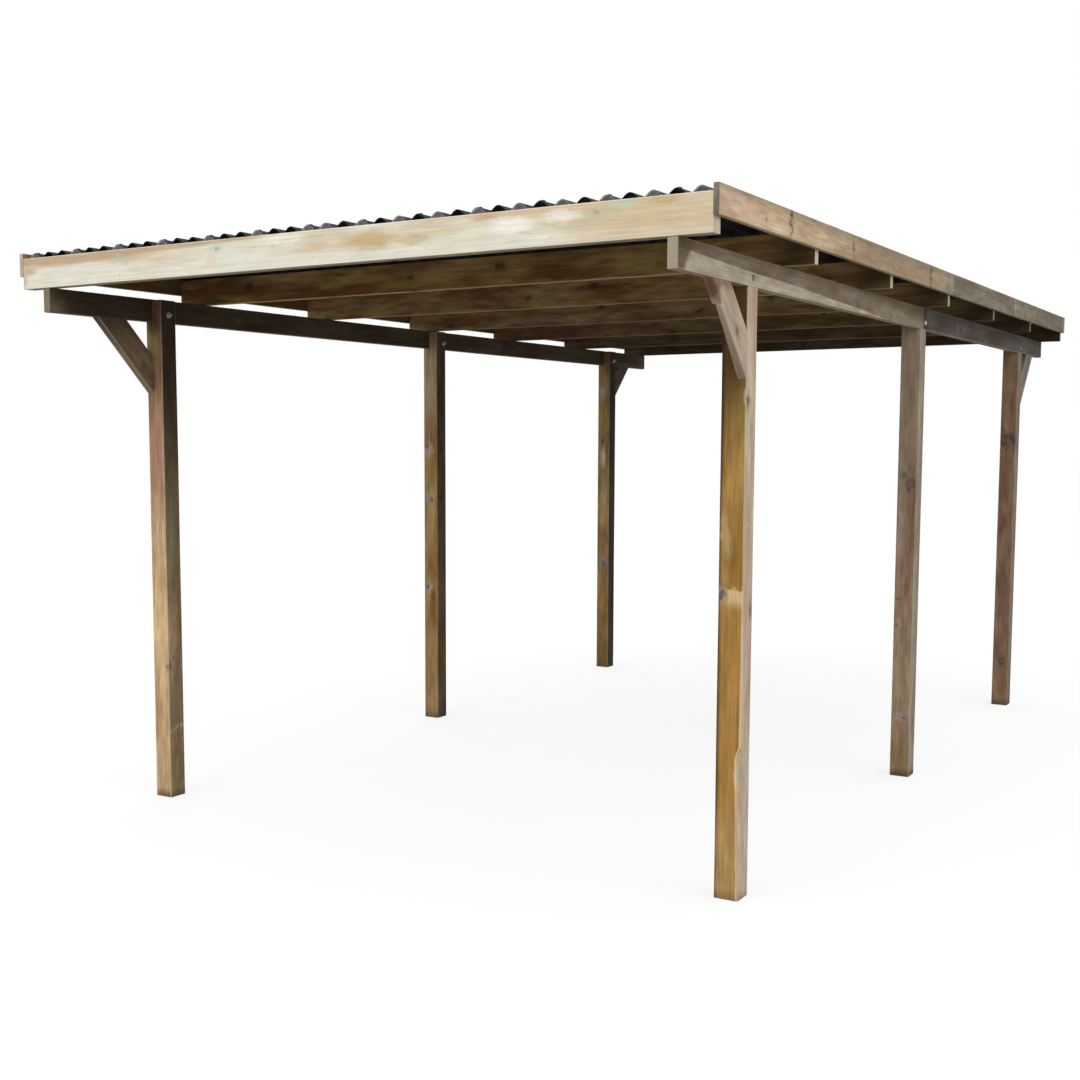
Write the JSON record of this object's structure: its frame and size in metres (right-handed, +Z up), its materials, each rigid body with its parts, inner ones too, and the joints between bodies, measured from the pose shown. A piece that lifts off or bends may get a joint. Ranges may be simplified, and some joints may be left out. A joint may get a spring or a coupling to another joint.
{
  "type": "carport",
  "caption": "Freestanding timber carport: notched posts with knee braces carry side beams, rafters and a level roof of lapped corrugated sheets behind front and side boards.",
  "frame": {"origin": "on the ground in the middle of the roof's outline", "axes": "+Y from the open front to the rear, +X to the right seen from the front, +Z up"},
  "size_m": [3, 5.4, 2.3227],
  "materials": {
    "post_timber": "weathered pressure-treated pine, planed, with knots and drying cracks",
    "beam_timber": "weathered pressure-treated pine, planed, with knots and drying cracks",
    "rafter_timber": "weathered pressure-treated pine, planed, with knots and drying cracks",
    "board_timber": "sun-bleached pressure-treated pine boards with knots and stains",
    "roof_sheet": "black bituminous corrugated sheet, matt with a slight sheen"
  },
  "bodies": {
    "root": {"post_front_left": "post_timber", "post_front_right": "post_timber", "post_middle_left": "post_timber", "post_middle_right": "post_timber", "post_rear_left": "post_timber", "post_rear_right": "post_timber", "beam_front_left": "beam_timber", "beam_front_right": "beam_timber", "beam_rear_left": "beam_timber", "beam_rear_right": "beam_timber", "brace_front_left": "beam_timber", "brace_front_right": "beam_timber", "brace_rear_left": "beam_timber", "brace_rear_right": "beam_timber", "rafter_1": "rafter_timber", "rafter_2": "rafter_timber", "rafter_3": "rafter_timber", "rafter_4": "rafter_timber", "rafter_5": "rafter_timber", "rafter_6": "rafter_timber", "rafter_7": "rafter_timber", "front_board": "board_timber", "side_board_front_left": "board_timber", "side_board_front_right": "board_timber", "side_board_rear_left": "board_timber", "side_board_rear_right": "board_timber", "sheet_front_1": "roof_sheet", "sheet_front_2": "roof_sheet", "sheet_front_3": "roof_sheet", "sheet_front_4": "roof_sheet", "sheet_middle_1": "roof_sheet", "sheet_middle_2": "roof_sheet", "sheet_middle_3": "roof_sheet", "sheet_middle_4": "roof_sheet", "sheet_rear_1": "roof_sheet", "sheet_rear_2": "roof_sheet", "sheet_rear_3": "roof_sheet", "sheet_rear_4": "roof_sheet"}
  },
  "joints": []
}
